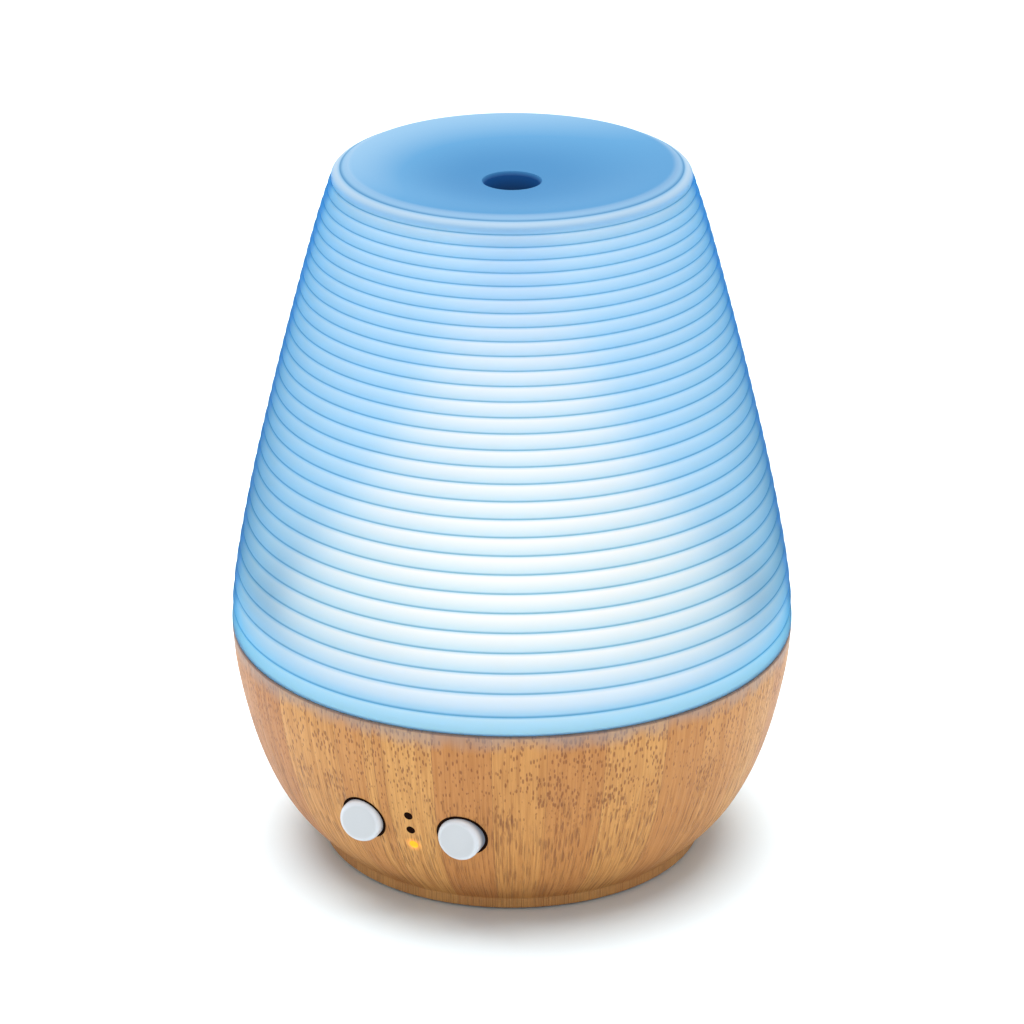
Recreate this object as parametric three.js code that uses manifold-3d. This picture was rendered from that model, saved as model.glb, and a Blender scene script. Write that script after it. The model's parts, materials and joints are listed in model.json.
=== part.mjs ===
// Ultrasonic essential oil diffuser: a bamboo bowl with a water tank and its electronics inside,
// an inner mist cover, and a ribbed translucent shade with a dished top.
// Millimetres, +Z up. The origin is on the floor at the centre, and the push buttons face -Y.

import * as THREE from 'three';
import { mergeVertices } from 'three/addons/utils/BufferGeometryUtils.js';
import Module from 'manifold-3d';

const wasm = await Module();
wasm.setup();

// ---------------------------------------------------------------------------
// Driving dimensions
// ---------------------------------------------------------------------------

const GAP = 0.3; // clearance between pieces that touch
const ROUND = 40; // sides of a large turned piece
const SMALL = 12; // sides of a boss, button or hole
const TINY = 8; // sides of a screw

// Outlines are [radius, height] knots of smooth curves.
const SEAM_Z = 56; // top of the bowl, where the shade rests
const SHADE_BOTTOM = SEAM_Z + GAP;
const SHADE_WALL = 2.5;
const SHADE_SIDE = [
  [68.15, SHADE_BOTTOM], [67.5, 66], [65.66, 78], [62, 96],
  [57.24, 116], [52.11, 136], [46.61, 156], [43.1, 167],
];
const SHADE_TOP = [
  [43.1, 167], [41.9, 170.1], [39.8, 171.5], [37, 172.1],
  [31, 171.5], [20, 169.4], [6.5, 167.4],
];
const MIST_HOLE = { radius: 6.5, collarWall: 1.5, collarBottom: 158 };

const BOWL_WALL = 4;
const BOWL_SIDE = [
  [47.9, 4.4], [52.8, 9.5], [56.6, 14.6], [60.1, 21.3],
  [63, 29], [65.4, 38], [67.3, 48], [68, 55.6],
];
const FOOT_RING = { outer: 46.6, inner: 43.5, bottom: 0.5, height: 2.5, chamfer: 0.3 };
const REBATE = { radius: 66.2, z: 54 }; // ledge in the bowl that carries the tank's deck

const TANK = {
  floorZ: 20, floorRadius: 40, wall: 2, drainRadius: 8, topRadius: 48,
  deckRadius: REBATE.radius - GAP, deckBottom: REBATE.z + GAP,
};
const SHADE_LIP = { outer: 65.2, inner: 63.6, top: 60.5 };
const MIST_LIP = { outer: 54.4, inner: 53, top: 59 };
const MIST_COVER_SIDE = [
  [57.5, SEAM_Z + GAP], [56.5, 61.5], [51.5, 68], [44.5, 76], [37.5, 86], [30.5, 98],
  [23.5, 111], [16.5, 125], [11.5, 138], [10.2, 148], [10.2, 163],
];
const MIST_COVER_WALL = 1.8;

const COVER = { radius: 43.1, bottom: 1.5, top: 3.7 };
const FOOT = { radius: 4.5, top: 1.9, circle: 38, angles: [90, 210, 330] };
const COVER_POST = { radius: 3.2, circle: 38, angles: [30, 150, 270] };

const FAN = {
  side: 25, bottom: 6.3, top: 14.3, offset: 26, angle: 225, bore: 11.6, holeSpacing: 10, blades: 7,
};
const FAN_COLLAR = { outer: 12, inner: 10.5 }; // under the tank's floor, over the fan
const DUCT = { offset: 31, radius: 7.5, bore: 5.5, top: 48 };
const BOSS = { radius: 2.3, bury: 0.5, tankSide: -37.5 }; // bury: how far a boss runs into its wall

const SEAL = { inner: 8.3, outer: 11.2, bottom: 18.2, top: 19.7 };
const DISC = { radius: 10, bottom: 16.7, top: 17.9 };
const RETAINER = { inner: 7, outer: 13.2, bottom: 14.6, top: 16.4, ear: 16, angle: 315 };

const MAIN_BOARD = { halfWidth: 22, front: 6, back: 42, bottom: 10, top: 11.6, screwX: 17, screwY: 30 };
const JACK = { z: 17, halfWidth: 4.5, front: 40.6, shoulder: 47.8, face: 57.2, nose: 4, bore: 2.75, pin: 1 };

const BUTTON = { x: 12.5, z: 27.5, face: -64.1, radius: 5.25, edge: 1, hole: 5.9, flange: 6.5, pocket: 7 };
const BUTTON_FLANGE = { front: -55.2, back: -54.2 };
const CONTROL_BOARD = {
  halfWidth: 20.5, bottom: 20.5, top: 36.5, front: -50, back: -48.4, screwX: 17.5, screwZ: 33.5,
};
const SWITCH = { side: 6, front: -53.5, bore: 2.1, boreBottom: -51.3, plunger: 1.75, plungerEnd: -52.2 };
const INDICATOR = { hole: 1.05, pipe: 0.75, recess: 0.4, chipFront: -51.3 };
const INDICATOR_HEIGHTS = { high: 31.5, middle: 27.2, low: 22.6 };

const LED_BOARD = {
  inner: 50.5, outer: 60, bottom: 50, top: 51.4, screwCircle: 57.5, screwAngles: [90, 210, 330],
};
const SHADE_LED = { side: 4, height: 1.2, circle: 55, count: 6 };

// length is under the head, and bite is the depth of the hole in the boss that takes the screw.
const COVER_SCREW = { head: 2.6, headHeight: 0.9, shank: 1.4, length: 9.5, bite: 9.5 };
const SMALL_SCREW = { head: 2, headHeight: 1.2, shank: 1, length: 4.8, bite: 3.5 };
const FAN_SCREW = { head: 2, headHeight: 1.2, shank: 1, length: 12, bite: 4.6 };
const SCREW_PLAY = 0.35; // radial clearance round a shank

const CONNECTOR = { x: [9.5, 19.5], y: [7.8, 12.8], height: 2.5 };

// Wires inside the base, each with its radius and the places it is dressed through.
const LEADS = {
  control_cable: {
    radius: 1.1,
    route: [
      [10, -47, 23.5], [11, -45.6, 17], [13, -37, 9], [15, -15, 7.5],
      [17, 0, 9], [17.5, 4.6, 12.9], [17.5, 7.4, 13.2],
    ],
  },
  transducer_lead: {
    radius: 0.7,
    route: [[2, 0, 16.2], [3, 0.5, 13.6], [7, 3, 12.8], [10.5, 5, 12.8], [11.2, 7.4, 13]],
  },
  fan_lead: {
    radius: 0.7,
    route: [[-8, -8, 9.5], [-3, -4.5, 8], [6, -1, 8.5], [13.2, 4.2, 12.7], [14.2, 7.4, 13.2]],
  },
  led_lead: {
    radius: 0.8,
    route: [
      [27.3, 47.3, 48.8], [26.6, 46.2, 42], [25, 44, 30],
      [22, 42, 19], [19.2, 38.5, 14], [18.6, 36.5, 13],
    ],
  },
};

// name: [colour, roughness, metalness]
const FINISHES = {
  bamboo: [0xcf9f6c, 0.5, 0],
  frosted_shade: [0xbfe0fa, 0.4, 0],
  white_plastic: [0xe6e8ea, 0.45, 0],
  clear_plastic: [0xe8eef2, 0.15, 0],
  button_gloss: [0xe2e6e9, 0.2, 0],
  dark_plastic: [0x1f2124, 0.5, 0],
  rubber: [0x2b2b2d, 0.85, 0],
  silicone: [0xd8d4cc, 0.7, 0],
  steel: [0xb5b8bb, 0.35, 1],
  ceramic: [0xd9d2bf, 0.6, 0],
  circuit_board: [0x1d6b3f, 0.5, 0],
  copper: [0xb3713f, 0.4, 0.8],
  wire_insulation: [0xdedede, 0.5, 0],
  capacitor_sleeve: [0x24303f, 0.4, 0],
  led_chip: [0xf3e9c6, 0.3, 0],
  amber_led: [0xffb54a, 0.3, 0],
};

// ---------------------------------------------------------------------------
// Solids
// ---------------------------------------------------------------------------

function toSolid(geometry) {
  const bare = geometry.clone();
  bare.deleteAttribute('normal');
  bare.deleteAttribute('uv');
  const merged = mergeVertices(bare);
  const index = merged.index.array;
  const triangles = [];
  for (let i = 0; i < index.length; i += 3) {
    const [a, b, c] = [index[i], index[i + 1], index[i + 2]];
    if (a !== b && b !== c && c !== a) triangles.push(a, b, c);
  }
  const vertProperties = merged.attributes.position.array;
  const triVerts = Uint32Array.from(triangles);
  return new wasm.Manifold(new wasm.Mesh({ numProp: 3, vertProperties, triVerts }));
}

function toGeometry(solid) {
  const mesh = solid.getMesh();
  const geometry = new THREE.BufferGeometry();
  geometry.setAttribute('position', new THREE.BufferAttribute(mesh.vertProperties, 3));
  geometry.setIndex(new THREE.BufferAttribute(mesh.triVerts, 1));
  geometry.computeVertexNormals();
  return geometry;
}

function joined(solids) {
  return solids.reduce((sum, solid) => sum.add(solid));
}

function cut(solid, tools) {
  return tools.reduce((rest, tool) => rest.subtract(tool), solid);
}

// A solid of revolution about +Z, from a closed outline of [radius, height] points in either order.
function turned(outline, sides = ROUND) {
  const points = outline.map(([radius, height]) => new THREE.Vector2(radius, height));
  const area = THREE.ShapeUtils.area(points);
  if (area < 0) points.reverse();
  points.push(points[0].clone());
  const geometry = new THREE.LatheGeometry(points, sides);
  geometry.rotateX(Math.PI / 2);
  return toSolid(geometry);
}

function rodZ(radius, bottom, top, [x, y] = [0, 0], sides = SMALL) {
  const geometry = new THREE.CylinderGeometry(radius, radius, top - bottom, sides);
  geometry.rotateX(Math.PI / 2);
  geometry.translate(x, y, (bottom + top) / 2);
  return toSolid(geometry);
}

function rodY(radius, front, back, [x, z] = [0, 0], sides = SMALL) {
  const geometry = new THREE.CylinderGeometry(radius, radius, back - front, sides);
  geometry.translate(x, (front + back) / 2, z);
  return toSolid(geometry);
}

function block([x0, x1], [y0, y1], [z0, z1]) {
  const geometry = new THREE.BoxGeometry(x1 - x0, y1 - y0, z1 - z0);
  geometry.translate((x0 + x1) / 2, (y0 + y1) / 2, (z0 + z1) / 2);
  return toSolid(geometry);
}

function onCircle(radius, degrees) {
  const angle = THREE.MathUtils.degToRad(degrees);
  return [radius * Math.cos(angle), radius * Math.sin(angle)];
}

// ---------------------------------------------------------------------------
// Outlines
// ---------------------------------------------------------------------------

function smoothCurve(knots) {
  return new THREE.SplineCurve(knots.map(([radius, height]) => new THREE.Vector2(radius, height)));
}

function curvePoints(knots, steps) {
  return smoothCurve(knots).getPoints(steps).map((point) => [point.x, point.y]);
}

// Points at a distance to the left of the curve, seen along it: inside a wall that is drawn upward.
function offsetPoints(knots, steps, distance) {
  const curve = smoothCurve(knots);
  const points = [];
  for (let i = 0; i <= steps; i += 1) {
    const point = curve.getPoint(i / steps);
    const tangent = curve.getTangent(i / steps);
    points.push([point.x - tangent.y * distance, point.y + tangent.x * distance]);
  }
  return points;
}

// ---------------------------------------------------------------------------
// Covers
// ---------------------------------------------------------------------------

// The outside goes up the side, over the rim and down the dish to the mist hole. A collar round the
// hole hangs inside the shade, and the inside follows the outside at the wall's thickness.
function shadeGeometry() {
  const { radius, collarWall, collarBottom } = MIST_HOLE;
  const outside = [...curvePoints(SHADE_SIDE, 9).slice(0, -1), ...curvePoints(SHADE_TOP, 9)];
  const collar = [[radius, collarBottom], [radius + collarWall, collarBottom]];
  const underDish = offsetPoints(SHADE_TOP, 7, SHADE_WALL).filter(([r]) => r > radius + collarWall + 1);
  const collarRoot = [radius + collarWall, underDish[underDish.length - 1][1] - 0.6];
  const insideSide = offsetPoints(SHADE_SIDE, 6, SHADE_WALL).slice(0, -1);
  insideSide[0][1] = SHADE_BOTTOM;
  const inside = [...insideSide, ...underDish].reverse();
  return toGeometry(turned([...outside, ...collar, collarRoot, ...inside]));
}

// A bell over the tank that narrows to a chimney.
function mistCoverGeometry() {
  const outside = curvePoints(MIST_COVER_SIDE, 12);
  const inside = offsetPoints(MIST_COVER_SIDE, 12, MIST_COVER_WALL);
  inside[0][1] = outside[0][1];
  inside[inside.length - 1][1] = outside[outside.length - 1][1];
  return toGeometry(turned([...outside, ...inside.reverse()], 32));
}

// ---------------------------------------------------------------------------
// Base
// ---------------------------------------------------------------------------

function buttonPlaces() {
  return [-BUTTON.x, BUTTON.x].map((x) => [x, BUTTON.z]);
}

// A turned bowl on a foot ring, with a rebate for the deck, and holes for the buttons, the
// indicators and the power socket. A flat pocket behind each button hole seats the cap's flange.
function bambooShellGeometry() {
  const { outer, inner, bottom, height, chamfer } = FOOT_RING;
  const footRing = [
    [inner, bottom], [outer - chamfer, bottom], [outer, bottom + chamfer], [outer, bottom + height],
  ];
  const outside = curvePoints(BOWL_SIDE, 10);
  const inside = offsetPoints(BOWL_SIDE, 7, BOWL_WALL);
  const ledge = [inside[inside.length - 1][0], REBATE.z];
  const rim = [[67.7, SEAM_Z], [REBATE.radius, SEAM_Z], [REBATE.radius, REBATE.z], ledge];
  const neck = [inner, inside[0][1] - 0.5];
  const underLedge = inside.slice(0, -1).reverse();
  const bowl = turned([...footRing, ...outside, ...rim, ...underLedge, neck]);
  const holes = [rodY(JACK.nose + GAP, 40, 70, [0, JACK.z])];
  for (const place of buttonPlaces()) {
    holes.push(rodY(BUTTON.hole, -75, -50, place, 16));
    holes.push(rodY(BUTTON.pocket, BUTTON_FLANGE.front - GAP, -45, place, 16));
  }
  for (const z of Object.values(INDICATOR_HEIGHTS)) {
    holes.push(rodY(INDICATOR.hole, -75, -45, [0, z], TINY));
  }
  return toGeometry(cut(bowl, holes));
}

function footPlaces() {
  return FOOT.angles.map((angle) => onCircle(FOOT.circle, angle));
}

function coverPostPlaces() {
  return COVER_POST.angles.map((angle) => onCircle(COVER_POST.circle, angle));
}

// A disc with pockets for the feet, countersinks for the screws and intake slots under the fan.
function bottomCoverGeometry() {
  const { radius, bottom, top } = COVER;
  const disc = turned([[0, bottom], [radius, bottom], [radius, top], [0, top]]);
  const tools = footPlaces().map((place) => rodZ(FOOT.radius + GAP, bottom - 1, FOOT.top + GAP, place));
  for (const place of coverPostPlaces()) {
    tools.push(rodZ(COVER_SCREW.head + GAP, bottom - 1, bottom + 1.2, place));
    tools.push(rodZ(COVER_SCREW.shank + SCREW_PLAY, bottom - 1, top + 1, place, TINY));
  }
  const [fanX, fanY] = onCircle(FAN.offset, FAN.angle);
  const slotPitch = 4;
  for (let row = -2; row <= 2; row += 1) {
    const y = fanY + row * slotPitch;
    const halfLength = 8.5 - Math.abs(row) * 1.5;
    tools.push(block([fanX - halfLength, fanX + halfLength], [y - 1, y + 1], [bottom - 1, top + 1]));
  }
  return toGeometry(cut(disc, tools));
}

function footGeometry() {
  const { radius, top } = FOOT;
  return toGeometry(turned([[0, 0], [radius - 0.4, 0], [radius, 0.4], [radius, top], [0, top]], 20));
}

// A pan-head screw that points up, with its head's underside at the origin and a cross recess.
function screwGeometry({ head, headHeight, shank, length }) {
  const outline = [[0, -headHeight], [head, -headHeight], [head, 0], [shank, 0], [shank, length], [0, length]];
  const arm = head * 0.6;
  const recess = joined([
    block([-arm, arm], [-0.3, 0.3], [-headHeight - 1, -headHeight / 2]),
    block([-0.3, 0.3], [-arm, arm], [-headHeight - 1, -headHeight / 2]),
  ]);
  return toGeometry(turned(outline, TINY).subtract(recess));
}

// ---------------------------------------------------------------------------
// Water tank
// ---------------------------------------------------------------------------

// Places in the fan's own frame, which is turned so that one side of the fan faces outward.
function fanPoint(out, across) {
  const [x, y] = onCircle(FAN.offset + out, FAN.angle);
  const [dx, dy] = onCircle(across, FAN.angle + 90);
  return [x + dx, y + dy];
}

function fanScrewPlaces() {
  const { holeSpacing } = FAN;
  return [fanPoint(-holeSpacing, holeSpacing), fanPoint(holeSpacing, -holeSpacing)];
}

function retainerScrewPlaces() {
  return [onCircle(RETAINER.ear, RETAINER.angle), onCircle(-RETAINER.ear, RETAINER.angle)];
}

function mainBoardScrewPlaces() {
  return [-MAIN_BOARD.screwX, MAIN_BOARD.screwX].map((x) => [x, MAIN_BOARD.screwY]);
}

function controlBoardScrewPlaces() {
  return [-CONTROL_BOARD.screwX, CONTROL_BOARD.screwX].map((x) => [x, CONTROL_BOARD.screwZ]);
}

function ledBoardScrewPlaces() {
  return LED_BOARD.screwAngles.map((angle) => onCircle(LED_BOARD.screwCircle, angle));
}

// The section of an upright ring that stands on the deck.
function lipOutline({ outer, inner, top }) {
  return [[outer, SEAM_Z], [outer, top], [inner, top], [inner, SEAM_Z]];
}

// Cup, deck and the two lips that locate the mist cover and the shade.
function tankOutline() {
  const { floorZ, floorRadius, wall, drainRadius, topRadius, deckRadius, deckBottom } = TANK;
  return [
    [drainRadius, floorZ], [floorRadius, floorZ], [topRadius, deckBottom],
    [deckRadius, deckBottom], [deckRadius, SEAM_Z],
    ...lipOutline(SHADE_LIP), ...lipOutline(MIST_LIP),
    [topRadius - wall, SEAM_Z], [floorRadius - wall, floorZ + wall], [drainRadius, floorZ + wall],
  ];
}

// The bored bosses under the tank, each row with the screw that goes into it.
function tankBosses() {
  const floorRoot = TANK.floorZ + BOSS.bury;
  const deckRoot = TANK.deckBottom + BOSS.bury;
  const { radius } = BOSS;
  return [
    { places: coverPostPlaces(), radius: COVER_POST.radius, bottom: COVER.top, root: floorRoot, screw: COVER_SCREW },
    { places: fanScrewPlaces(), radius, bottom: FAN.top, root: floorRoot, screw: FAN_SCREW },
    { places: retainerScrewPlaces(), radius, bottom: RETAINER.top, root: floorRoot, screw: SMALL_SCREW },
    { places: mainBoardScrewPlaces(), radius, bottom: MAIN_BOARD.top, root: floorRoot, screw: SMALL_SCREW },
    { places: ledBoardScrewPlaces(), radius, bottom: LED_BOARD.top, root: deckRoot, screw: SMALL_SCREW },
  ];
}

// The cup with its air duct, fan collar, and a bored boss for each screw.
function waterTankGeometry() {
  const cup = turned(tankOutline());
  const floorRoot = TANK.floorZ + BOSS.bury;
  const fanCentre = fanPoint(0, 0);
  const ductCentre = onCircle(DUCT.offset, FAN.angle);
  const collarBottom = FAN.top + GAP;
  const added = [
    rodZ(DUCT.radius, floorRoot, DUCT.top, ductCentre, 20),
    rodZ(FAN_COLLAR.outer, collarBottom, floorRoot, fanCentre, 24),
  ];
  const removed = [
    rodZ(DUCT.bore, TANK.floorZ - 1, DUCT.top + 1, ductCentre, 20),
    rodZ(FAN_COLLAR.inner, collarBottom - 1, TANK.floorZ, fanCentre, 24),
  ];
  for (const { places, radius, bottom, root, screw } of tankBosses()) {
    for (const place of places) {
      added.push(rodZ(radius, bottom + GAP, root, place));
      removed.push(rodZ(screw.shank + SCREW_PLAY, bottom - 1, bottom + screw.bite, place, TINY));
    }
  }
  for (const place of controlBoardScrewPlaces()) {
    added.push(rodY(BOSS.radius, CONTROL_BOARD.back + GAP, BOSS.tankSide, place));
    removed.push(rodY(SMALL_SCREW.shank + SCREW_PLAY, CONTROL_BOARD.back - 1, BOSS.tankSide - 5, place, TINY));
  }
  return toGeometry(cut(joined([cup, ...added]), removed));
}

// ---------------------------------------------------------------------------
// Mist maker and fan
// ---------------------------------------------------------------------------

function ring({ inner, outer, bottom, top }, sides) {
  return turned([[inner, bottom], [outer, bottom], [outer, top], [inner, top]], sides);
}

function transducerSealGeometry() {
  return toGeometry(ring(SEAL, 24));
}

function transducerDiscGeometry() {
  return toGeometry(rodZ(DISC.radius, DISC.bottom, DISC.top, [0, 0], 24));
}

// Clearance holes for small screws, through a plate between two heights.
function screwHoles(places, bottom, top) {
  const bore = SMALL_SCREW.shank + SCREW_PLAY;
  return places.map((place) => rodZ(bore, bottom - 1, top + 1, place, TINY));
}

// A clamping ring with two ears for its screws.
function retainerGeometry() {
  const { inner, outer, bottom, top, ear } = RETAINER;
  const disc = rodZ(outer, bottom, top, [0, 0], 24);
  const bar = block([-ear, ear], [-2.8, 2.8], [bottom, top]);
  const ends = [-ear, ear].map((x) => rodZ(2.8, bottom, top, [x, 0]));
  const holes = screwHoles([[-ear, 0], [ear, 0]], bottom, top);
  const window = rodZ(inner, bottom - 1, top + 1, [0, 0], 20);
  return toGeometry(cut(joined([disc, bar, ...ends]), [window, ...holes]));
}

// A square fan frame, centred on its own axis, with a bridge across the intake that carries the motor.
function fanFrameGeometry() {
  const { side, bottom, top, bore, holeSpacing } = FAN;
  const half = side / 2;
  const frame = block([-half, half], [-half, half], [bottom, top]);
  const signs = [[-1, -1], [-1, 1], [1, -1], [1, 1]];
  const corners = signs.map(([i, j]) => [i * holeSpacing, j * holeSpacing]);
  const holes = [rodZ(bore, bottom - 1, top + 1, [0, 0], 24), ...screwHoles(corners, bottom, top)];
  const struts = [
    block([-bore - 0.5, bore + 0.5], [-0.8, 0.8], [bottom, bottom + 1]),
    block([-0.8, 0.8], [-bore - 0.5, bore + 0.5], [bottom, bottom + 1]),
    rodZ(5, bottom, bottom + 1, [0, 0], 20),
  ];
  return toGeometry(joined([cut(frame, holes), ...struts]));
}

// Hub and blades, each blade a thin plate pitched about its own radius.
function fanRotorGeometry() {
  const { bottom, top, bore, blades } = FAN;
  const low = bottom + 1.5;
  const high = top - 0.5;
  const parts = [rodZ(5.2, low, high, [0, 0], 20)];
  const bladeLength = bore - 0.6 - 4.5;
  for (let i = 0; i < blades; i += 1) {
    const blade = new THREE.BoxGeometry(bladeLength, 0.8, 5.6);
    blade.rotateX(THREE.MathUtils.degToRad(38));
    blade.translate(4.5 + bladeLength / 2, 0, (low + high) / 2);
    blade.rotateZ((i * 2 * Math.PI) / blades);
    parts.push(toSolid(blade));
  }
  return toGeometry(joined(parts));
}

// ---------------------------------------------------------------------------
// Electronics
// ---------------------------------------------------------------------------

function mainBoardGeometry() {
  const { halfWidth, front, back, bottom, top } = MAIN_BOARD;
  const board = block([-halfWidth, halfWidth], [front, back], [bottom, top]);
  return toGeometry(cut(board, screwHoles(mainBoardScrewPlaces(), bottom, top)));
}

// A barrel socket: a square body, a round nose that reaches the bowl's surface, and a centre pin.
function dcJackGeometry() {
  const { z, halfWidth, front, shoulder, face, nose, bore, pin } = JACK;
  const body = block([-halfWidth, halfWidth], [front, shoulder], [MAIN_BOARD.top + GAP, z + halfWidth]);
  const barrel = rodY(nose, shoulder - 1, face, [0, z], 24);
  const socket = rodY(bore, face - 9, face + 1, [0, z], 20);
  const centrePin = rodY(pin, face - 10, face - 1, [0, z], TINY);
  return toGeometry(joined([cut(joined([body, barrel]), [socket]), centrePin]));
}

function controlBoardGeometry() {
  const { halfWidth, bottom, top, front, back } = CONTROL_BOARD;
  const board = block([-halfWidth, halfWidth], [front, back], [bottom, top]);
  const bore = SMALL_SCREW.shank + SCREW_PLAY;
  const holes = controlBoardScrewPlaces().map((place) => rodY(bore, front - 1, back + 1, place, TINY));
  return toGeometry(cut(board, holes));
}

// A square tactile switch with a round well for its plunger.
function switchBodyGeometry() {
  const half = SWITCH.side / 2;
  const body = block([-half, half], [SWITCH.front, CONTROL_BOARD.front - GAP], [-half, half]);
  return toGeometry(body.subtract(rodY(SWITCH.bore, SWITCH.front - 1, SWITCH.boreBottom)));
}

function switchPlungerGeometry() {
  return toGeometry(rodY(SWITCH.plunger, BUTTON_FLANGE.back + GAP, SWITCH.plungerEnd));
}

// A round cap with a softened edge and a flange that stays behind the bowl's wall.
function buttonCapGeometry() {
  const { radius, edge, flange, face } = BUTTON;
  const { front, back } = BUTTON_FLANGE;
  const rounding = [];
  for (let i = 0; i <= 3; i += 1) {
    const angle = (i * Math.PI) / 6;
    rounding.push([radius - edge + edge * Math.sin(angle), -face - edge + edge * Math.cos(angle)]);
  }
  const outline = [[0, -face], ...rounding, [radius, -front], [flange, -front], [flange, -back], [0, -back]];
  const geometry = toGeometry(turned(outline, 20));
  geometry.rotateX(Math.PI / 2);
  return geometry;
}

function lightPipeGeometry(z) {
  const face = -radiusOfBowlAt(z) + INDICATOR.recess;
  return toGeometry(rodY(INDICATOR.pipe, face, INDICATOR.chipFront - GAP, [0, z], TINY));
}

function radiusOfBowlAt(z) {
  const points = curvePoints(BOWL_SIDE, 200);
  return points.find(([, height]) => height >= z)[0];
}

function indicatorChipGeometry(z) {
  return toGeometry(block([-0.8, 0.8], [INDICATOR.chipFront, CONTROL_BOARD.front - GAP], [z - 0.6, z + 0.6]));
}

function ledBoardGeometry() {
  const { bottom, top } = LED_BOARD;
  const board = ring(LED_BOARD, ROUND);
  return toGeometry(cut(board, screwHoles(ledBoardScrewPlaces(), bottom, top)));
}

function shadeLedGeometry() {
  const half = SHADE_LED.side / 2;
  return toGeometry(block([-half, half], [-half, half], [0, SHADE_LED.height]));
}

// An electrolytic can that stands on the main board, with its end crimped in.
function capacitorGeometry(radius, height) {
  const outline = [
    [0, 0], [radius - 0.4, 0], [radius, 0.5], [radius, height - 0.3], [radius - 0.3, height], [0, height],
  ];
  return toGeometry(turned(outline, 16));
}

// A wound drum core: two flanges and the coil between them.
function inductorGeometry() {
  return toGeometry(turned([[0, 0], [4, 0], [4, 1], [3.6, 1], [3.6, 5], [4, 5], [4, 6], [0, 6]], 20));
}

// A power transistor that stands up, with its metal tab behind the moulded body.
function transistorGeometry() {
  const body = block([-5, 5], [-2, 2], [0, 5]);
  const tab = block([-5, 5], [1, 2], [4.5, 8]);
  return toGeometry(joined([body, tab]));
}

// A tube of constant section along a smooth route.
function leadGeometry({ radius, route }) {
  const curve = new THREE.CatmullRomCurve3(route.map(([x, y, z]) => new THREE.Vector3(x, y, z)));
  const section = new THREE.Shape();
  for (let i = 0; i < 8; i += 1) {
    const angle = (i * Math.PI) / 4;
    const [u, v] = [radius * Math.cos(angle), radius * Math.sin(angle)];
    if (i === 0) section.moveTo(u, v);
    else section.lineTo(u, v);
  }
  section.closePath();
  return toGeometry(toSolid(new THREE.ExtrudeGeometry(section, { steps: 14, extrudePath: curve })));
}

function connectorGeometry() {
  const bottom = MAIN_BOARD.top + GAP;
  return toGeometry(block(CONNECTOR.x, CONNECTOR.y, [bottom, bottom + CONNECTOR.height]));
}

// ---------------------------------------------------------------------------
// Assembly
// ---------------------------------------------------------------------------

function piece(name, geometry, finish, [x, y, z] = [0, 0, 0], turn = 0) {
  const [color, roughness, metalness] = FINISHES[finish];
  const material = new THREE.MeshStandardMaterial({ color, roughness, metalness });
  const mesh = new THREE.Mesh(geometry, material);
  mesh.name = name;
  mesh.position.set(x, y, z);
  mesh.rotation.z = THREE.MathUtils.degToRad(turn);
  return mesh;
}

// One piece of the same geometry at each place, numbered from 1.
function repeated(name, geometry, finish, places, z) {
  return places.map(([x, y], i) => piece(`${name}_${i + 1}`, geometry, finish, [x, y, z]));
}

function covers() {
  const group = new THREE.Group();
  group.add(piece('shade', shadeGeometry(), 'frosted_shade'));
  group.add(piece('mist_cover', mistCoverGeometry(), 'white_plastic'));
  return group;
}

function casing() {
  const group = new THREE.Group();
  group.add(piece('bamboo_shell', bambooShellGeometry(), 'bamboo'));
  group.add(piece('water_tank', waterTankGeometry(), 'white_plastic'));
  group.add(piece('bottom_cover', bottomCoverGeometry(), 'dark_plastic'));
  group.add(...repeated('foot', footGeometry(), 'rubber', footPlaces(), 0));
  const headSeat = COVER.bottom + 1.1;
  group.add(...repeated('cover_screw', screwGeometry(COVER_SCREW), 'steel', coverPostPlaces(), headSeat));
  return group;
}

function mistMaker() {
  const group = new THREE.Group();
  group.add(piece('transducer_seal', transducerSealGeometry(), 'silicone'));
  group.add(piece('transducer_disc', transducerDiscGeometry(), 'ceramic'));
  group.add(piece('transducer_retainer', retainerGeometry(), 'dark_plastic', [0, 0, 0], RETAINER.angle));
  const places = retainerScrewPlaces();
  group.add(...repeated('retainer_screw', screwGeometry(SMALL_SCREW), 'steel', places, RETAINER.bottom - GAP));
  return group;
}

function fan() {
  const group = new THREE.Group();
  const [x, y] = fanPoint(0, 0);
  group.add(piece('fan_frame', fanFrameGeometry(), 'dark_plastic', [x, y, 0], FAN.angle));
  group.add(piece('fan_rotor', fanRotorGeometry(), 'dark_plastic', [x, y, 0]));
  group.add(...repeated('fan_screw', screwGeometry(FAN_SCREW), 'steel', fanScrewPlaces(), FAN.bottom - GAP));
  return group;
}

function powerBoard() {
  const group = new THREE.Group();
  const top = MAIN_BOARD.top + GAP;
  group.add(piece('main_board', mainBoardGeometry(), 'circuit_board'));
  group.add(piece('dc_jack', dcJackGeometry(), 'dark_plastic'));
  group.add(piece('board_connector', connectorGeometry(), 'white_plastic'));
  group.add(piece('drive_inductor', inductorGeometry(), 'copper', [11, 20, top]));
  group.add(piece('supply_capacitor', capacitorGeometry(3.2, 7.5), 'capacitor_sleeve', [-12, 20, top]));
  group.add(piece('output_capacitor', capacitorGeometry(2.5, 6), 'capacitor_sleeve', [-4, 22, top]));
  group.add(piece('drive_transistor', transistorGeometry(), 'dark_plastic', [3, 32, top]));
  const seat = MAIN_BOARD.bottom - GAP;
  group.add(...repeated('board_screw', screwGeometry(SMALL_SCREW), 'steel', mainBoardScrewPlaces(), seat));
  return group;
}

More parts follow.
